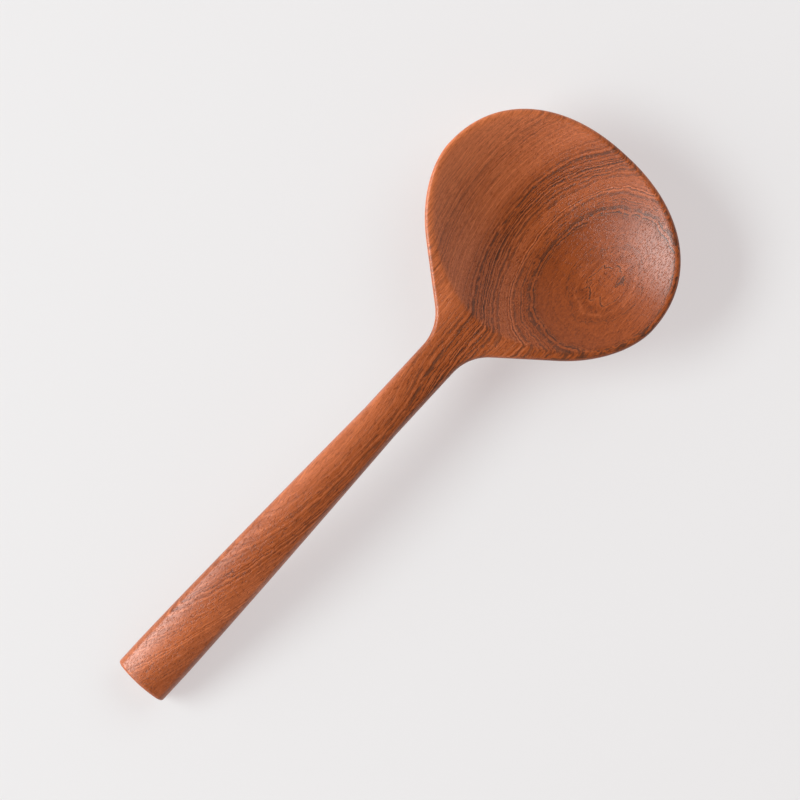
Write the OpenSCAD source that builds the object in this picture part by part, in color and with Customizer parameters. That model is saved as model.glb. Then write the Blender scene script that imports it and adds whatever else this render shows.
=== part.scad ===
// Serving ladle carved from one piece of hardwood: an arched handle that runs
// through a flared neck into a wide, shallow bowl.
// Lengths are in millimetres. The ladle lies along X on a flat surface, with the
// end of its handle at -X, the far rim of its bowl at +X and +Z up. The origin is
// on that surface, halfway along the ladle.

/* [Whole ladle] */
// Length from the end of the handle to the far rim
overall_length = 250; // [238:1:270]

/* [Handle] */
// Width of the handle near its end
handle_width = 20.4; // [17:0.1:26]
// Thickness of the handle near its end
handle_thickness = 12.4; // [10:0.1:15]
// Length at the end of the handle that keeps the full width
grip_length = 12; // [6:0.5:30]
// Height of the handle's centre line at the top of its arch
arch_height = 20; // [18:0.1:24]
// Distance from the end of the handle to the top of its arch
arch_reach = 108; // [95:1:120]
// How much lower the edges of the handle's top are than its middle, at its full width
crown_height = 2.8; // [1:0.1:3.5]
// Width of the rounded edge along each side of the handle
side_edge_width = 1.8; // [1:0.1:4]
// Radius of the eased edge round the end of the handle
end_radius = 1.2; // [0.6:0.1:4]
// How far the middle of the handle's end stands out past its corners
end_crown_length = 0.6; // [0:0.05:1]

/* [Neck] */
// Width of the handle at the neck
neck_width = 14.3; // [12:0.1:18]
// Thickness of the handle at the neck
neck_thickness = 10; // [8:0.1:12]
// Distance from the bowl's widest place back to where the handle stops narrowing
neck_reach = 86.5; // [78:0.5:95]
// Radius of the inside curve where each side of the neck turns out to the bowl
neck_fillet = 16.5; // [10:0.5:22]
// Depth of wood under the edges where the neck runs into the bowl
keel_depth = 7.5; // [6:0.1:10]

/* [Bowl] */
// Width of the bowl across the ladle
bowl_width = 95.9; // [88:0.1:104]
// Length from the bowl's widest place to the far rim
far_length = 38.9; // [35:0.1:43]
// Length from the widest place back to where the round of the bowl would close
near_length = 42.3; // [40:0.1:46]
// Height of the rim above the surface that the ladle lies on
rim_height = 21; // [19:0.1:25]
// Thickness of the wood at the rim
rim_thickness = 3; // [2:0.1:4]
// Distance from the outline of the bowl in to the edge of the hollow
rim_width = 1.9; // [1.2:0.1:3]
// Distance from the widest place back to the near edge of the hollow
hollow_reach = 38; // [35:0.1:41]
// Depth of the hollow below the rim
hollow_depth = 13.5; // [11:0.1:16]
// Height over which the edge of the hollow is rounded
hollow_edge_height = 1.2; // [0.8:0.1:3]
// Width of the flat under the bowl
foot_width = 24; // [14:0.5:36]

/* [Hidden] */

// Shape powers: 2 is a true ellipse or parabola, and more is squarer.
section_power = 2.3;
taper_power = 1.25;
near_power = 1.75;
far_power = 2.2;
hollow_power = 2;
keel_power = 4;

// Share of the near length at which the straight flare leaves the bowl's round
flare_share = 0.7;

// Facets: steps along each stretch, and across each half of the top
end_steps = 4;
handle_steps = 20;
neck_steps = 6;
fillet_steps = 7;
flare_steps = 10;
shoulder_steps = 10;
far_steps = 22;
across_steps = 14;

// Half sizes
handle_half = handle_width / 2;
neck_half = neck_width / 2;
bowl_half = bowl_width / 2;
rim_half = rim_thickness / 2;
hollow_half = bowl_half - rim_width;

// Places along the ladle, from the end of the handle
bowl_x = overall_length - far_length;
neck_x = bowl_x - neck_reach;
hollow_x = bowl_x - hollow_reach;

// The straight flare touches the bowl's round at shoulder_x and the neck's inside
// curve at flare_x, and the curve leaves the handle at fillet_x.
shoulder_x = bowl_x - near_length * flare_share;
shoulder_half = bowl_half * close(flare_share, near_power);
flare_slope = round_slope(flare_share);
flare_angle = atan(flare_slope);
corner_x = shoulder_x - (shoulder_half - neck_half) / flare_slope;
fillet_x = corner_x - neck_fillet * tan(flare_angle / 2);
flare_x = fillet_x + neck_fillet * sin(flare_angle);

// The bowl's underside would reach this far below the rim, and is cut flat at the foot.
rim_mid = rim_height - rim_half;
bowl_drop = (rim_height - rim_thickness) / (1 - pow(foot_width / bowl_width, 2));

// How far up a rounded edge is at a share t of the way in, from 0 to 1
function edge_round(t) = t >= 1 ? 1 : pow(1 - pow(1 - max(t, 0), section_power), 1 / section_power);

// The other half width of a round of this power at a share t of its length
function close(t, power) = pow(max(1 - pow(t, power), 0), 1 / power);

// Slope of the bowl's round at a share t of the near length
function round_slope(t) =
    bowl_half / near_length * pow(t, near_power - 1) * pow(1 - pow(t, near_power), 1 / near_power - 1);

// A share held between 0 and 1, and the same with an easy start and stop
function held(t) = min(max(t, 0), 1);
function eased(t) = held(t) * held(t) * (3 - 2 * held(t));
function mix(a, b, t) = a + (b - a) * t;

// The lower of two heights, rounded within this much of where they cross
function soft_min(a, b, blend) = min(a, b) - blend / 6 * pow(max(1 - abs(a - b) / blend, 0), 3);

// How far the eased end draws the section in at x
function end_inset(x) =
    x >= end_radius ? 0 : end_radius - sqrt(pow(end_radius, 2) - pow(end_radius - x, 2));

// Half width of the outline at x: the handle's taper, the neck's curve and flare, then
// the round of the bowl
function taper(x) = pow(held((x - grip_length) / (neck_x - grip_length)), taper_power);
function turn(x) = min(max(x - fillet_x, 0), flare_x - fillet_x);
function outline(x) =
    x <= shoulder_x
    ? mix(handle_half, neck_half, taper(x)) - end_inset(x)
        + neck_fillet - sqrt(pow(neck_fillet, 2) - pow(turn(x), 2))
        + flare_slope * max(x - flare_x, 0)
    : x <= bowl_x ? bowl_half * close((bowl_x - x) / near_length, near_power)
    : bowl_half * close((x - bowl_x) / far_length, far_power);

// Place of a point in a round about the bowl's widest place: 0 at its middle, 1 at its edge
function ratio(x, y, near, far, half) =
    let (power = x < bowl_x ? near_power : far_power)
    pow(pow(abs(x - bowl_x) / (x < bowl_x ? near : far), power) + pow(abs(y) / half, power), 1 / power);
function bowl_ratio(x, y) = ratio(x, y, near_length, far_length, bowl_half);

// Distance from a point out to the outline: square to the neck's sides, and along a
// ray from the middle of the bowl
function edge(x, y) =
    x <= shoulder_x ? (outline(x) - abs(y)) * sqrt(1 - pow(turn(x) / neck_fillet, 2))
    : x == bowl_x && y == 0 ? far_length
    : norm([x - bowl_x, y]) * (1 / bowl_ratio(x, y) - 1);

// Heights along the ladle. From the neck on they ease into those of the rim.
function into_bowl(x) = eased((x - neck_x) / (hollow_x - neck_x));
function arch(x) =
    mix(arch_height, handle_thickness / 2, pow((arch_reach - x) / (arch_reach - end_radius), 2));
function wood_half(x) = mix(handle_thickness, neck_thickness, held(x / neck_x)) / 2;
function mid(x) = mix(arch(x), rim_mid, into_bowl(x));
function above(x) = mix(wood_half(x), rim_half, into_bowl(x)) - end_inset(x);

// The neck's keel fades out under the hollow, and ends at the bowl's widest place.
function keel_share(x) = 1 - eased((x - hollow_x) / hollow_reach);
function below(x) = mix(wood_half(x), keel_depth, into_bowl(x)) * keel_share(x) - end_inset(x);

// How far in from the outline the top is rounded, and how far its crown drops at y. The
// crown fades out on the way to the flat rim.
function round_width(x) = mix(side_edge_width, rim_half, into_bowl(x));
function crown_drop(x, y) = crown_height * pow(y / handle_half, 2) * (1 - into_bowl(x));

// The hollow, and the bowl's underside as a depth below the middle of the rim
function hollow(x, y) =
    let (r = ratio(x, y, hollow_reach, far_length - rim_width, hollow_half))
    rim_height - hollow_depth * (1 - pow(r, hollow_power));
function bowl_depth(x, y) =
    rim_half * edge_round(edge(x, y) / rim_half) + bowl_drop * max(1 - pow(bowl_ratio(x, y), 2), 0);

// Heights of the two faces of the wood. They meet at the outline.
function uncut_top(x, y) = mid(x) + (above(x) - crown_drop(x, y)) * edge_round(edge(x, y) / round_width(x));
function top(x, y) = soft_min(uncut_top(x, y), hollow(x, y), hollow_edge_height);
function keel(x, y) = below(x) * close(abs(y) / outline(x), section_power);
function bottom(x, y) =
    max(mid(x) - pow(pow(keel(x, y), keel_power) + pow(bowl_depth(x, y), keel_power), 1 / keel_power), 0);

// Stations from the end of the handle to just short of the far rim
function stretch(from, to, steps) = [for (k = [0 : steps - 1]) mix(from, to, k / steps)];
stations = concat(
    [for (k = [0 : end_steps - 1]) end_radius * (1 - cos(90 * k / end_steps))],
    stretch(end_radius, neck_x, handle_steps),
    stretch(neck_x, fillet_x, neck_steps),
    stretch(fillet_x, flare_x, fillet_steps),
    stretch(flare_x, shoulder_x, flare_steps),
    stretch(shoulder_x, bowl_x, shoulder_steps),
    [for (k = [0 : far_steps - 1]) bowl_x + far_length * sin(90 * k / far_steps)]
);

// Shares of the half width across the top, closer together towards the edges
across_shares = [for (k = [-across_steps : across_steps]) sin(90 * k / across_steps)];

// The handle's end is crowned, so its sides start this much later than its middle. The
// crown fades along the grip.
function end_crown(x, share) = end_crown_length * share * share * held(1 - x / grip_length);

// One point of the skin
function skin_point(x, share, height) =
    [x + end_crown(x, share) - overall_length / 2, share * outline(x), height];

// One station's ring: over the top from one edge to the other, and back below
function ring(x) = concat(
    [skin_point(x, -1, mid(x))],
    [for (k = [1 : 2 * across_steps - 1])
        let (share = across_shares[k]) skin_point(x, share, top(x, share * outline(x)))],
    [skin_point(x, 1, mid(x))],
    [for (k = [2 * across_steps - 1 : -1 : 1])
        let (share = across_shares[k]) skin_point(x, share, bottom(x, share * outline(x)))]
);

ring_size = 4 * across_steps;
ring_count = len(stations);
end_middle = ring_count * ring_size;
far_tip = end_middle + 1;

skin_points = concat(
    [for (x = stations) each ring(x)],
    [[-overall_length / 2, 0, mid(0)], [overall_length / 2, 0, rim_mid]]
);

// The point after k on its ring
function next(k) = (k + 1) % ring_size;

skin_faces = concat(
    [for (k = [0 : ring_size - 1]) [end_middle, next(k), k]],
    [for (i = [0 : ring_count - 2], k = [0 : ring_size - 1])
        let (near = i * ring_size, far = near + ring_size)
        each [[near + k, near + next(k), far + k], [near + next(k), far + next(k), far + k]]],
    [for (k = [0 : ring_size - 1])
        let (last = (ring_count - 1) * ring_size) [far_tip, last + k, last + next(k)]]
);

module ladle() {
    color("#9c5836") polyhedron(points = skin_points, faces = skin_faces);
}

ladle();
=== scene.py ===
import math
import bpy
import mathutils
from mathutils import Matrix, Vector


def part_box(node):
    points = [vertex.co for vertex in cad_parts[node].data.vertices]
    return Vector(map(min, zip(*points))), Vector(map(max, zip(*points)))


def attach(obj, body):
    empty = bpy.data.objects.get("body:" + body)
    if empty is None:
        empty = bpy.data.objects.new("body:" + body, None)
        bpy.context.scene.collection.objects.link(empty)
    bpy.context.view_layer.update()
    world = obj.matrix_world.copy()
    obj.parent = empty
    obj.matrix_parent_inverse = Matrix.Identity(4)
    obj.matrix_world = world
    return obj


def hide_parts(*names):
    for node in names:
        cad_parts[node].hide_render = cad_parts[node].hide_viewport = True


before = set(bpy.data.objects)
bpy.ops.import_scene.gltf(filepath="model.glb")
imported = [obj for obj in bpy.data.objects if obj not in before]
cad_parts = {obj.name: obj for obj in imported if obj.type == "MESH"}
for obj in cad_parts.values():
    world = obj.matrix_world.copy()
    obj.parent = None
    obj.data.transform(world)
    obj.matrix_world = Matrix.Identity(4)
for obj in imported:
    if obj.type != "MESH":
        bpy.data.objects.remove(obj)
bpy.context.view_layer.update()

# The camera hangs straight above the ladle and looks down on it. The handle lies at
# an angle across the picture, whose middle is a little past that of the ladle. A
# pixel of the picture covers 0.345 mm at the height of the ladle's top.
MM = 0.001
low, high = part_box("ladle")
picture_pixels = 800
pixel_size = 0.345 * MM
handle_turn = math.radians(47.3)
picture_middle = low.x + 134.6 * MM
camera_height = 1500 * MM

overhead = bpy.data.cameras.new("overhead")
overhead.lens = overhead.sensor_width * (camera_height - high.z) / (picture_pixels * pixel_size)
camera = bpy.data.objects.new("overhead", overhead)
camera.location = (picture_middle, 0, camera_height)
camera.rotation_euler = (0, 0, -handle_turn)
bpy.context.scene.collection.objects.link(camera)
bpy.context.scene.camera = camera

# The ladle is one piece of teak, sawn to its outline, arched and hollowed with a
# gouge, then sanded smooth. Its skin is a grid: stations run along the ladle, and
# each one goes over the top of the wood and back underneath.
length = high.x - low.x
bowl_half = (high.y - low.y) / 2
neck_half = 7.15 * MM
neck_fillet = 16.5 * MM
near_length = 42.3 * MM
far_length = 38.9 * MM
near_power = 1.75
far_power = 2.2
taper_power = 1.25
rim_height = 21 * MM
rim_half = 1.5 * MM
rim_width = 1.9 * MM
hollow_near = 38 * MM
hollow_depth = 13.5 * MM
foot_half = 12 * MM
bowl_x = length - far_length

# The straight flare of the neck touches the bowl's round at this share of its length.
flare_share = 0.7
closing = 1 - flare_share**near_power
shoulder_x = bowl_x - flare_share * near_length
shoulder_half = bowl_half * closing ** (1 / near_power)
flare_slope = shoulder_half / near_length * flare_share ** (near_power - 1) / closing
flare_angle = math.atan(flare_slope)
corner_x = shoulder_x - (shoulder_half - neck_half) / flare_slope
fillet_x = corner_x - neck_fillet * math.tan(flare_angle / 2)
flare_x = fillet_x + neck_fillet * math.sin(flare_angle)

sizes = {
    "Length": length,
    "End Radius": 1.2 * MM,
    "End Crown": 0.6 * MM,
    "Grip Length": 12 * MM,
    "Handle Half Width": 10.2 * MM,
    "Handle Half Thickness": 6.2 * MM,
    "Handle Crown": 2.8 * MM,
    "Handle Edge": 1.8 * MM,
    "Arch Height": 19.99 * MM,
    "Arch Reach": 108 * MM,
    "Neck X": bowl_x - 86.5 * MM,
    "Neck Half Width": neck_half,
    "Neck Half Thickness": 5 * MM,
    "Neck Fillet": neck_fillet,
    "Keel Depth": 7.5 * MM,
    "Fillet X": fillet_x,
    "Flare X": flare_x,
    "Flare Slope": flare_slope,
    "Shoulder X": shoulder_x,
    "Bowl X": bowl_x,
    "Bowl Near": near_length,
    "Bowl Far": far_length,
    "Bowl Half Width": bowl_half,
    "Bowl Drop": (rim_height - 2 * rim_half) / (1 - (foot_half / bowl_half) ** 2),
    "Rim Middle": rim_height - rim_half,
    "Rim Half Thickness": rim_half,
    "Hollow X": bowl_x - hollow_near,
    "Hollow Near": hollow_near,
    "Hollow Far": far_length - rim_width,
    "Hollow Half Width": bowl_half - rim_width,
    "Hollow Depth": hollow_depth,
    "Hollow Floor": rim_height - hollow_depth,
    "Hollow Edge": 1.2 * MM,
}


def add(tree, kind, *inputs, **settings):
    """Adds a node with its settings, and sets or links its inputs in their order."""
    node = tree.nodes.new(kind)
    for name, value in settings.items():
        setattr(node, name, value)
    for socket, value in zip(node.inputs, inputs):
        if isinstance(value, bpy.types.Node):
            value = value.outputs[0]
        if isinstance(value, bpy.types.NodeSocket):
            tree.links.new(value, socket)
        elif value is not None:
            socket.default_value = value
    return node


def start_group(name, inputs, result):
    """A node group with named number inputs and one result, and its input sockets."""
    group = bpy.data.node_groups.new(name, "GeometryNodeTree")
    for socket_name in inputs:
        group.interface.new_socket(socket_name, in_out="INPUT", socket_type="NodeSocketFloat")
    group.interface.new_socket("Result", in_out="OUTPUT", socket_type=result)
    return group, group.nodes.new("NodeGroupInput").outputs


# How far up a rounded edge is, at a share of the way in from the outline
section_power = 2.3
edge_round, given = start_group("edge_round", ["Share"], "NodeSocketFloat")
left = add(edge_round, "ShaderNodeMath", 1, given["Share"], operation="SUBTRACT", use_clamp=True)
left = add(edge_round, "ShaderNodeMath", left, section_power, operation="POWER")
risen = add(edge_round, "ShaderNodeMath", 1, left, operation="SUBTRACT")
risen = add(edge_round, "ShaderNodeMath", risen, 1 / section_power, operation="POWER")
add(edge_round, "NodeGroupOutput", risen)

# Place in a round about the bowl's widest place: 0 at its middle and 1 at its edge
bowl_inputs = ["X", "Y", "Near", "Far", "Half Width"]
bowl_round, given = start_group("bowl_round", bowl_inputs, "NodeSocketFloat")
is_far = add(bowl_round, "ShaderNodeMath", given["X"], 0, operation="GREATER_THAN")
reach = add(bowl_round, "GeometryNodeSwitch", is_far, given["Near"], given["Far"], input_type="FLOAT")
power = add(bowl_round, "GeometryNodeSwitch", is_far, near_power, far_power, input_type="FLOAT")
along = add(bowl_round, "ShaderNodeMath", given["X"], reach, operation="DIVIDE")
along = add(bowl_round, "ShaderNodeMath", along, operation="ABSOLUTE")
along = add(bowl_round, "ShaderNodeMath", along, power, operation="POWER")
across = add(bowl_round, "ShaderNodeMath", given["Y"], given["Half Width"], operation="DIVIDE")
across = add(bowl_round, "ShaderNodeMath", across, operation="ABSOLUTE")
across = add(bowl_round, "ShaderNodeMath", across, power, operation="POWER")
place = add(bowl_round, "ShaderNodeMath", along, across, operation="ADD")
root = add(bowl_round, "ShaderNodeMath", 1, power, operation="DIVIDE")
place = add(bowl_round, "ShaderNodeMath", place, root, operation="POWER")
add(bowl_round, "NodeGroupOutput", place)

# The grid: each of its rows becomes a station, and its columns go round the wood.
stations = 400
ring_points = 221
carve, size = start_group("carve_ladle", sizes, "NodeSocketGeometry")
grid = add(carve, "GeometryNodeMeshGrid", 1, 1, stations, ring_points)
spot = add(carve, "ShaderNodeSeparateXYZ", add(carve, "GeometryNodeInputPosition"))
station = add(carve, "ShaderNodeMath", spot.outputs["X"], 0.5, operation="ADD")
circuit = add(carve, "ShaderNodeMath", spot.outputs["Y"], 0.5, operation="ADD")
is_top = add(carve, "ShaderNodeMath", circuit, 0.5, operation="LESS_THAN")
share = add(carve, "ShaderNodeMath", circuit, 2 * math.pi, math.pi, operation="MULTIPLY_ADD")
share = add(carve, "ShaderNodeMath", share, operation="COSINE")

# The first stations spread over the flat end of the handle. The others lie closer
# together towards both ends of the ladle.
end_share = 0.02
bunching = 0.9
spread = add(carve, "ShaderNodeMapRange", station, 0, end_share, 0, 1)
gone = add(carve, "ShaderNodeMapRange", station, end_share, 1, 0, 1)
bunch = add(carve, "ShaderNodeMath", gone, 2 * math.pi, operation="MULTIPLY")
bunch = add(carve, "ShaderNodeMath", bunch, operation="SINE")
x = add(carve, "ShaderNodeMath", bunch, -bunching / (2 * math.pi), gone, operation="MULTIPLY_ADD")
x = add(carve, "ShaderNodeMath", x, size["Length"], operation="MULTIPLY")

# Half width along the handle and the neck: a taper to the neck, then an arc and a
# straight flare, with the end of the handle eased all round
to_end = add(carve, "ShaderNodeMath", size["End Radius"], x, operation="SUBTRACT")
to_end = add(carve, "ShaderNodeMath", to_end, 0, operation="MAXIMUM")
to_end = add(carve, "ShaderNodeMath", to_end, size["End Radius"], operation="DIVIDE")
inset = add(carve, "ShaderNodeMath", to_end, 2, operation="POWER")
inset = add(carve, "ShaderNodeMath", 1, inset, operation="SUBTRACT")
inset = add(carve, "ShaderNodeMath", inset, operation="SQRT")
inset = add(carve, "ShaderNodeMath", 1, inset, operation="SUBTRACT")
inset = add(carve, "ShaderNodeMath", inset, size["End Radius"], operation="MULTIPLY")
taper = add(carve, "ShaderNodeMapRange", x, size["Grip Length"], size["Neck X"], 0, 1)
taper = add(carve, "ShaderNodeMath", taper, taper_power, operation="POWER")
side = add(carve, "ShaderNodeMapRange", taper, 0, 1, size["Handle Half Width"], size["Neck Half Width"])
side = add(carve, "ShaderNodeMath", side, inset, operation="SUBTRACT")
turn = add(carve, "ShaderNodeClamp", x, size["Fillet X"], size["Flare X"])
turn = add(carve, "ShaderNodeMath", turn, size["Fillet X"], operation="SUBTRACT")
turn = add(carve, "ShaderNodeMath", turn, size["Neck Fillet"], operation="DIVIDE")
straight = add(carve, "ShaderNodeMath", turn, 2, operation="POWER")
straight = add(carve, "ShaderNodeMath", 1, straight, operation="SUBTRACT")
straight = add(carve, "ShaderNodeMath", straight, operation="SQRT")
turned = add(carve, "ShaderNodeMath", 1, straight, operation="SUBTRACT")
side = add(carve, "ShaderNodeMath", turned, size["Neck Fillet"], side, operation="MULTIPLY_ADD")
flare = add(carve, "ShaderNodeMath", x, size["Flare X"], operation="SUBTRACT")
flare = add(carve, "ShaderNodeMath", flare, 0, operation="MAXIMUM")
side = add(carve, "ShaderNodeMath", flare, size["Flare Slope"], side, operation="MULTIPLY_ADD")

# Half width along the bowl, and the outline as a whole
bowl_along = add(carve, "ShaderNodeMath", x, size["Bowl X"], operation="SUBTRACT")
is_far = add(carve, "ShaderNodeMath", bowl_along, 0, operation="GREATER_THAN")
reach = add(carve, "GeometryNodeSwitch", is_far, size["Bowl Near"], size["Bowl Far"], input_type="FLOAT")
power = add(carve, "GeometryNodeSwitch", is_far, near_power, far_power, input_type="FLOAT")
closed = add(carve, "ShaderNodeMath", bowl_along, reach, operation="DIVIDE")
closed = add(carve, "ShaderNodeMath", closed, operation="ABSOLUTE")
closed = add(carve, "ShaderNodeMath", closed, power, operation="POWER")
closed = add(carve, "ShaderNodeMath", 1, closed, operation="SUBTRACT", use_clamp=True)
root = add(carve, "ShaderNodeMath", 1, power, operation="DIVIDE")
closed = add(carve, "ShaderNodeMath", closed, root, operation="POWER")
bowl_side = add(carve, "ShaderNodeMath", closed, size["Bowl Half Width"], operation="MULTIPLY")
in_bowl = add(carve, "ShaderNodeMath", x, size["Shoulder X"], operation="GREATER_THAN")
outline = add(carve, "GeometryNodeSwitch", in_bowl, side, bowl_side, input_type="FLOAT")
y = add(carve, "ShaderNodeMath", outline, share, operation="MULTIPLY")

# Distance out to the outline: square to the neck's sides, and along a ray from the
# middle of the bowl
inward = add(carve, "ShaderNodeMath", share, operation="ABSOLUTE")
inward = add(carve, "ShaderNodeMath", 1, inward, operation="SUBTRACT")
side_edge = add(carve, "ShaderNodeMath", outline, inward, operation="MULTIPLY")
side_edge = add(carve, "ShaderNodeMath", side_edge, straight, operation="MULTIPLY")
place = add(carve, "GeometryNodeGroup", bowl_along, y, size["Bowl Near"], size["Bowl Far"],
            size["Bowl Half Width"], node_tree=bowl_round)
ray = add(carve, "ShaderNodeCombineXYZ", bowl_along, y)
ray = add(carve, "ShaderNodeVectorMath", ray, operation="LENGTH").outputs["Value"]
ray_edge = add(carve, "ShaderNodeMath", ray, place, operation="DIVIDE")
ray_edge = add(carve, "ShaderNodeMath", ray_edge, ray, operation="SUBTRACT")
edge = add(carve, "GeometryNodeSwitch", in_bowl, side_edge, ray_edge, input_type="FLOAT")

# Heights along the ladle: the handle's arch, its thickness above and below the
# middle of its sides, and how these ease into the rim and into the keel
rise = add(carve, "ShaderNodeMapRange", x, size["End Radius"], size["Arch Reach"], 1, 0, clamp=False)
rise = add(carve, "ShaderNodeMath", rise, 2, operation="POWER")
arch = add(carve, "ShaderNodeMapRange", rise, 0, 1, size["Arch Height"], size["Handle Half Thickness"],
           clamp=False)
wood = add(carve, "ShaderNodeMapRange", x, 0, size["Neck X"], size["Handle Half Thickness"],
           size["Neck Half Thickness"])
middle = add(carve, "ShaderNodeMapRange", x, size["Neck X"], size["Hollow X"], arch, size["Rim Middle"],
             interpolation_type="SMOOTHSTEP")
above = add(carve, "ShaderNodeMapRange", x, size["Neck X"], size["Hollow X"], wood,
            size["Rim Half Thickness"], interpolation_type="SMOOTHSTEP")
above = add(carve, "ShaderNodeMath", above, inset, operation="SUBTRACT")
below = add(carve, "ShaderNodeMapRange", x, size["Neck X"], size["Hollow X"], wood, size["Keel Depth"],
            interpolation_type="SMOOTHSTEP")
below = add(carve, "ShaderNodeMapRange", x, size["Hollow X"], size["Bowl X"], below, 0,
            interpolation_type="SMOOTHSTEP")
below = add(carve, "ShaderNodeMath", below, inset, operation="SUBTRACT")

# The top: crowned across the handle, flat round the bowl and rounded at its edges,
# with the hollow scooped out of it
drop = add(carve, "ShaderNodeMapRange", x, size["Neck X"], size["Hollow X"], size["Handle Crown"], 0,
           interpolation_type="SMOOTHSTEP")
out = add(carve, "ShaderNodeMath", y, size["Handle Half Width"], operation="DIVIDE")
out = add(carve, "ShaderNodeMath", out, 2, operation="POWER")
drop = add(carve, "ShaderNodeMath", out, drop, operation="MULTIPLY")
above = add(carve, "ShaderNodeMath", above, drop, operation="SUBTRACT")
round_width = add(carve, "ShaderNodeMapRange", x, size["Neck X"], size["Hollow X"], size["Handle Edge"],
                  size["Rim Half Thickness"], interpolation_type="SMOOTHSTEP")
top = add(carve, "ShaderNodeMath", edge, round_width, operation="DIVIDE")
top = add(carve, "GeometryNodeGroup", top, node_tree=edge_round)
top = add(carve, "ShaderNodeMath", top, above, middle, operation="MULTIPLY_ADD")
hollow = add(carve, "GeometryNodeGroup", bowl_along, y, size["Hollow Near"], size["Hollow Far"],
             size["Hollow Half Width"], node_tree=bowl_round)
hollow = add(carve, "ShaderNodeMath", hollow, 2, operation="POWER")
hollow = add(carve, "ShaderNodeMath", hollow, size["Hollow Depth"], size["Hollow Floor"],
             operation="MULTIPLY_ADD")
top = add(carve, "ShaderNodeMath", top, hollow, size["Hollow Edge"], operation="SMOOTH_MIN")

# The underside: the keel of the handle and the neck, blended into the outside of the
# bowl, and sanded flat where the ladle stands
keel_power = 4
keel = add(carve, "GeometryNodeGroup", inward, node_tree=edge_round)
keel = add(carve, "ShaderNodeMath", keel, below, operation="MULTIPLY")
keel = add(carve, "ShaderNodeMath", keel, keel_power, operation="POWER")
rim = add(carve, "ShaderNodeMath", edge, size["Rim Half Thickness"], operation="DIVIDE")
rim = add(carve, "GeometryNodeGroup", rim, node_tree=edge_round)
rim = add(carve, "ShaderNodeMath", rim, size["Rim Half Thickness"], operation="MULTIPLY")
belly = add(carve, "ShaderNodeMath", place, 2, operation="POWER")
belly = add(carve, "ShaderNodeMath", 1, belly, operation="SUBTRACT", use_clamp=True)
belly = add(carve, "ShaderNodeMath", belly, size["Bowl Drop"], rim, operation="MULTIPLY_ADD")
belly = add(carve, "ShaderNodeMath", belly, keel_power, operation="POWER")
depth = add(carve, "ShaderNodeMath", keel, belly, operation="ADD")
depth = add(carve, "ShaderNodeMath", depth, 1 / keel_power, operation="POWER")
bottom = add(carve, "ShaderNodeMath", middle, depth, operation="SUBTRACT")
bottom = add(carve, "ShaderNodeMath", bottom, 0, operation="MAXIMUM")

# Each point goes to its place. Points on the seam, where the top meets the underside,
# share one height and are merged. The end of the handle is crowned, and the crown
# fades along the grip.
seam_share = 1e-5
merge_distance = 0.001 * MM
z = add(carve, "GeometryNodeSwitch", is_top, bottom, top, input_type="FLOAT")
on_seam = add(carve, "ShaderNodeMath", inward, seam_share, operation="LESS_THAN")
z = add(carve, "GeometryNodeSwitch", on_seam, z, middle, input_type="FLOAT")
z = add(carve, "ShaderNodeMapRange", spread, 0, 1, middle, z)
y = add(carve, "ShaderNodeMath", y, spread, operation="MULTIPLY")
crown = add(carve, "ShaderNodeMath", share, spread, operation="MULTIPLY")
crown = add(carve, "ShaderNodeMath", crown, 2, operation="POWER")
crown = add(carve, "ShaderNodeMath", crown, size["End Crown"], operation="MULTIPLY")
crown = add(carve, "ShaderNodeMapRange", x, 0, size["Grip Length"], crown, 0)
x = add(carve, "ShaderNodeMath", x, crown, operation="ADD")
x = add(carve, "ShaderNodeMath", size["Length"], -0.5, x, operation="MULTIPLY_ADD")
skin = add(carve, "GeometryNodeSetPosition", grid, None, add(carve, "ShaderNodeCombineXYZ", x, y, z))
skin = add(carve, "GeometryNodeMergeByDistance", skin, None, merge_distance)
skin = add(carve, "GeometryNodeRealizeInstances", skin)

# Teak, oiled and rubbed: red-brown heartwood with black streaks that run with the
# growth rings, short dark pores along the grain and a low, broad gloss.
teak = bpy.data.materials.new("oiled_teak")
teak.use_nodes = True
grain = teak.node_tree
surface = grain.nodes["Principled BSDF"]


def srgb(code):
    """A hex colour as the linear colour that Blender's sockets take."""
    channels = [int(code[i:i + 2], 16) / 255 for i in (1, 3, 5)]
    return [c / 12.92 if c <= 0.04045 else ((c + 0.055) / 1.055) ** 2.4 for c in channels] + [1]


# The middle of the tree lay below the ladle and to its right, nearly along it, so
# the hollow cuts the rings into ovals about one spot. Places in the wood are in
# millimetres, out from that line and along it. Along it, 0 is level with the widest
# place of the bowl, and the handle is at less than 0.
pith_place = (low.x + 212 * MM, -42.3 * MM, -40 * MM)
pith_turn = (0, math.radians(0.91), math.radians(3.82))
place = add(grain, "ShaderNodeTexCoord").outputs["Object"]
place = add(grain, "ShaderNodeMapping", place, pith_place, pith_turn, (MM, MM, MM),
            vector_type="TEXTURE")
along = add(grain, "ShaderNodeSeparateXYZ", place).outputs["X"]


def along_the_grain(per_mm, share, detail, roughness):
    """Marks drawn out along the grain: so many a millimetre across it, and a share of that along it."""
    drawn_out = add(grain, "ShaderNodeVectorMath", place, (share, 1, 1), operation="MULTIPLY")
    return add(grain, "ShaderNodeTexNoise", drawn_out, None, per_mm, detail, roughness)


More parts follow.
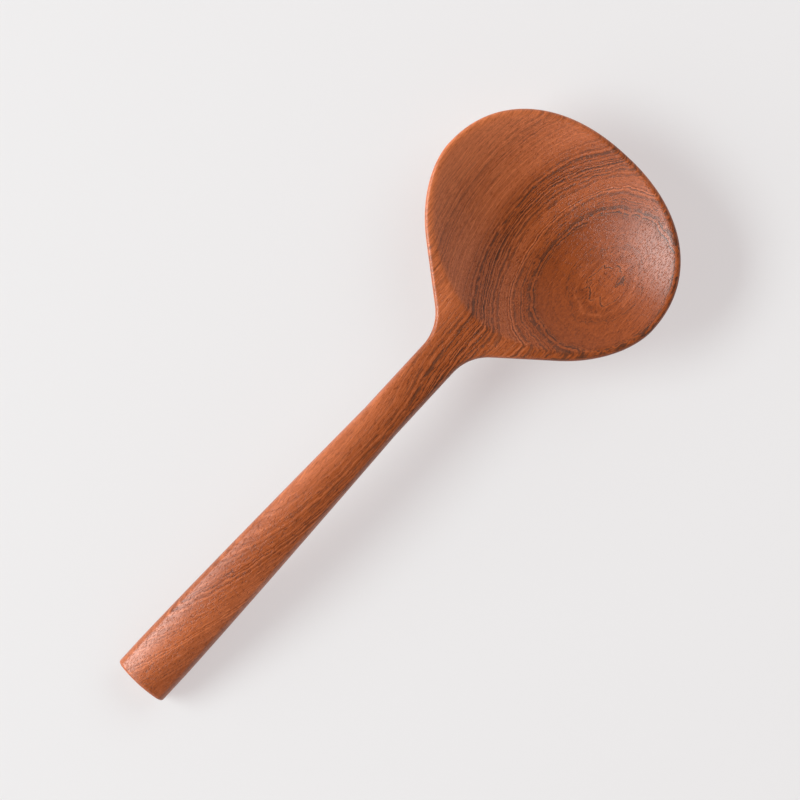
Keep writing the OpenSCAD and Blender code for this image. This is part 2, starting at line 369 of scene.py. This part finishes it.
# Distance from the pith, which bends towards the ladle under its handle. The rings
# sway a little, and are rough close up.
bend_start = -70
bend_end = -215
bend_width = 16
sway_width = 1.2
rough_width = 0.8
bend = add(grain, "ShaderNodeMapRange", along, bend_end, bend_start, -bend_width, 0,
           interpolation_type="SMOOTHSTEP")
bend = add(grain, "ShaderNodeCombineXYZ", 0, bend)
radius = add(grain, "ShaderNodeVectorMath", place, bend, operation="ADD")
radius = add(grain, "ShaderNodeVectorMath", radius, (0, 1, 1), operation="MULTIPLY")
radius = add(grain, "ShaderNodeVectorMath", radius, operation="LENGTH").outputs["Value"]
sway = along_the_grain(per_mm=0.07, share=0.12, detail=2, roughness=0.5)
sway = add(grain, "ShaderNodeMapRange", sway, 0, 1, -sway_width, sway_width)
radius = add(grain, "ShaderNodeMath", radius, sway, operation="ADD")
rough = along_the_grain(per_mm=0.3, share=0.35, detail=4, roughness=0.6)
rough = add(grain, "ShaderNodeMapRange", rough, 0, 1, -rough_width, rough_width)
radius = add(grain, "ShaderNodeMath", radius, rough, operation="ADD")

# Bands of rings from the inside out: distance from the pith in millimetres, how light
# the wood is, how many black streaks it has and how strongly its fine rings show
bands = [
    (53, 0.62, 1, 0.8),
    (55, 0.6, 0.9, 0.8),
    (55.3, 0.56, 0.1, 0.6),
    (56.3, 0.53, 0.1, 0.5),
    (56.5, 0.52, 0.9, 0.4),
    (56.7, 0.51, 0, 0.3),
    (60.2, 0.44, 0, 0.15),
    (60.5, 0.58, 0.8, 1),
    (63, 0.66, 0.7, 1),
    (65.4, 0.76, 0.6, 1),
    (68.8, 0.78, 0.5, 1),
    (71.4, 0.7, 0.8, 1),
    (73.5, 0.62, 1, 1),
    (75.7, 0.68, 0.8, 0.8),
    (79, 0.76, 0.5, 0.8),
    (81.4, 0.88, 0.1, 0.6),
    (86.8, 0.9, 0.3, 0.6),
    (90.2, 0.88, 0.5, 0.7),
    (96.4, 0.97, 0.4, 0.6),
    (100.2, 1, 0.2, 0.5),
    (104, 1, 0, 0.4),
]
first = bands[0][0]
last = bands[-1][0]
band = add(grain, "ShaderNodeMapRange", radius, first, last, 0, 1)
band = add(grain, "ShaderNodeValToRGB", band)
band.color_ramp.elements[0].color = (*bands[0][1:], 1)
band.color_ramp.elements[1].color = (*bands[-1][1:], 1)
for start, *shares in bands[1:-1]:
    band.color_ramp.elements.new((start - first) / (last - first)).color = (*shares, 1)
lightness, streaks, contrast = add(grain, "ShaderNodeSeparateColor", band).outputs

# Fine rings, about 2 to a millimetre. The wood is paler towards the handle's end.
rings_per_mm = 2.2
pale_start = -60
pale_end = -200
fine = add(grain, "ShaderNodeTexNoise", None, radius, rings_per_mm, 3, 0.7, noise_dimensions="1D")
fine = add(grain, "ShaderNodeMapRange", fine, 0.2, 0.8, -0.45, 0.25)
tone = add(grain, "ShaderNodeMath", fine, contrast, lightness, operation="MULTIPLY_ADD")
paler = add(grain, "ShaderNodeMapRange", along, pale_end, pale_start, 0.07, -0.05)
tone = add(grain, "ShaderNodeMath", tone, paler, operation="ADD")

# Black streaks follow the rings, break up along the grain and fade towards the end of
# the handle. Three thin ones have a known place, in the ovals inside the hollow.
streaks_per_mm = 1.3
fade_start = -60
fade_end = -160
streak = add(grain, "ShaderNodeTexNoise", None, radius, streaks_per_mm, 2, 0.6, noise_dimensions="1D")
streak = add(grain, "ShaderNodeMapRange", streak, 0.5, 0.57, 0, 1)
for known, half_width in [(54.8, 0.06), (56.5, 0.07), (60.6, 0.07)]:
    near = add(grain, "ShaderNodeMath", radius, known, half_width, operation="COMPARE")
    streak = add(grain, "ShaderNodeMath", streak, near, operation="MAXIMUM")
streak = add(grain, "ShaderNodeMath", streak, streaks, operation="MULTIPLY")
broken = along_the_grain(per_mm=0.7, share=0.25, detail=4, roughness=0.7)
broken = add(grain, "ShaderNodeMapRange", broken, 0.38, 0.5, 0, 1)
streak = add(grain, "ShaderNodeMath", streak, broken, operation="MULTIPLY")
fading = add(grain, "ShaderNodeMapRange", along, fade_end, fade_start, 0.2, 1)
streak = add(grain, "ShaderNodeMath", streak, fading, operation="MULTIPLY")

# Fibres: light and dark hairs along the grain
hairs = along_the_grain(per_mm=1.3, share=0.05, detail=3, roughness=0.8)
hairs = add(grain, "ShaderNodeMapRange", hairs, 0.2, 0.8, -0.2, 0.2)
tone = add(grain, "ShaderNodeMath", tone, hairs, operation="ADD")

# Pores: short dark dashes, and dots where the wood is cut across. They are faint
# where the fine rings are.
pores = along_the_grain(per_mm=3.2, share=0.2, detail=1, roughness=0.5)
pores = add(grain, "ShaderNodeMapRange", pores, 0.55, 0.7, 0, 1)
pore_tone = add(grain, "ShaderNodeMapRange", contrast, 0, 1, -0.12, -0.35)
tone = add(grain, "ShaderNodeMath", pores, pore_tone, tone, operation="MULTIPLY_ADD")

# The colour from dark to pale wood, and nearly black in the streaks
streak_cover = 0.85
colour = add(grain, "ShaderNodeValToRGB", tone)
colour.color_ramp.elements[0].color = srgb("#552813")
colour.color_ramp.elements[1].color = srgb("#D07547")
for paleness, code in [(0.25, "#7C3A18"), (0.5, "#994B21"), (0.75, "#B36037")]:
    colour.color_ramp.elements.new(paleness).color = srgb(code)
streak = add(grain, "ShaderNodeMath", streak, streak_cover, operation="MULTIPLY")
colour = add(grain, "ShaderNodeMix", streak, None, None, None, None, None, colour, srgb("#33261F"),
             data_type="RGBA")
grain.links.new(colour.outputs["Result"], surface.inputs["Base Color"])

# The pores are sunk and the hairs raised, within a tenth of a millimetre. Sanding and
# oil leave the wood satin.
relief_height = 0.1 * MM
relief_strength = 0.5
relief = add(grain, "ShaderNodeMath", pores, -1, hairs, operation="MULTIPLY_ADD")
relief = add(grain, "ShaderNodeBump", relief_strength, relief_height, None, relief)
grain.links.new(relief.outputs["Normal"], surface.inputs["Normal"])
surface.inputs["IOR"].default_value = 1.47
surface.inputs["Roughness"].default_value = 0.35
skin = add(carve, "GeometryNodeSetMaterial", skin, None, teak)
add(carve, "NodeGroupOutput", skin)

# The tree is run once with the ladle's sizes, and its result becomes a plain mesh.
ladle = bpy.data.objects.new("carved_ladle", bpy.data.meshes.new("carved_ladle"))
bpy.context.scene.collection.objects.link(ladle)
carving = ladle.modifiers.new("carving", "NODES")
carving.node_group = carve
for item in carve.interface.items_tree:
    if item.in_out == "INPUT":
        carving[item.identifier] = sizes[item.name]
depsgraph = bpy.context.evaluated_depsgraph_get()
carved = bpy.data.meshes.new_from_object(ladle.evaluated_get(depsgraph))
ladle.modifiers.remove(carving)
ladle.data = carved
carved.shade_smooth()
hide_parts("ladle")
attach(ladle, "root")

# The table top is a sheet of matt white paper, too dull to mirror the wood. The
# camera and the wood's gloss see it partly as a plain, faintly pink glow, and the
# paper itself is as faintly blue, so it looks white in the light and pinkish in the
# shadows.
table_half = 3
corners = [(-table_half, -table_half, 0), (table_half, -table_half, 0),
           (table_half, table_half, 0), (-table_half, table_half, 0)]
table = bpy.data.meshes.new("table")
table.from_pydata(corners, [], [(0, 1, 2, 3)])
table_top = bpy.data.objects.new("table", table)
bpy.context.scene.collection.objects.link(table_top)
paper = bpy.data.materials.new("white_paper")
paper.use_nodes = True
sheet = paper.node_tree
matt = sheet.nodes["Principled BSDF"]
matt.inputs["Base Color"].default_value = srgb("#E6F0F0")
matt.inputs["Roughness"].default_value = 0.9
matt.inputs["Specular IOR Level"].default_value = 0
glow = add(sheet, "ShaderNodeEmission", srgb("#EFE5E5"), 1)
glow_share = 0.6
rays = add(sheet, "ShaderNodeLightPath").outputs
seen = add(sheet, "ShaderNodeMath", rays["Is Camera Ray"], rays["Is Glossy Ray"],
           operation="MAXIMUM")
seen = add(sheet, "ShaderNodeMath", seen, rays["Is Transmission Ray"], operation="MAXIMUM")
seen = add(sheet, "ShaderNodeMath", seen, glow_share, operation="MULTIPLY")
mixed = add(sheet, "ShaderNodeMixShader", seen, matt, glow)
sheet.links.new(mixed.outputs[0], sheet.nodes["Material Output"].inputs["Surface"])
table.materials.append(paper)

# The room is dark overhead, where the camera hangs, and pale low down, so the top of
# the wood mirrors little and its edges catch a soft sheen.
room_strength = 1.3
world = bpy.data.worlds.new("studio")
world.use_nodes = True
room = world.node_tree
low_down = add(room, "ShaderNodeSeparateXYZ", add(room, "ShaderNodeTexCoord"))
low_down = add(room, "ShaderNodeMapRange", low_down.outputs["Z"], 0, 1, 1, 0)
low_down = add(room, "ShaderNodeMath", low_down, 2, operation="POWER")
low_down = add(room, "ShaderNodeMath", low_down, room_strength, operation="MULTIPLY")
room.links.new(low_down.outputs[0], room.nodes["Background"].inputs["Strength"])
room.nodes["Background"].inputs["Color"].default_value = srgb("#FFFFFF")
bpy.context.scene.world = world


def hang_lamp(name, turn, climb, width, height, watts):
    """Hangs an oval lamp turned from the picture's right and raised, both in degrees."""
    distance = 3
    lamp = bpy.data.lights.new(name, "AREA")
    lamp.shape = "ELLIPSE"
    lamp.size = width
    lamp.size_y = height
    lamp.energy = watts
    toward = mathutils.Vector((distance, 0, 0))
    toward.rotate(mathutils.Euler((0, -math.radians(climb), math.radians(turn) - handle_turn)))
    hung = bpy.data.objects.new(name, lamp)
    hung.location = toward
    hung.rotation_euler = toward.to_track_quat("Z", "Y").to_euler()
    bpy.context.scene.collection.objects.link(hung)
    return hung


# The key and the window light the ladle from the left. The card on the other side
# only fills the hollow's near wall, and is too dull to be mirrored.
hang_lamp("key", turn=178, climb=36, width=2.3, height=1, watts=86)
hang_lamp("window", turn=190, climb=20, width=3, height=1.4, watts=36)
card = hang_lamp("card", turn=45, climb=40, width=3, height=2, watts=30)
card.visible_glossy = False

bpy.context.scene.view_settings.view_transform = "Standard"
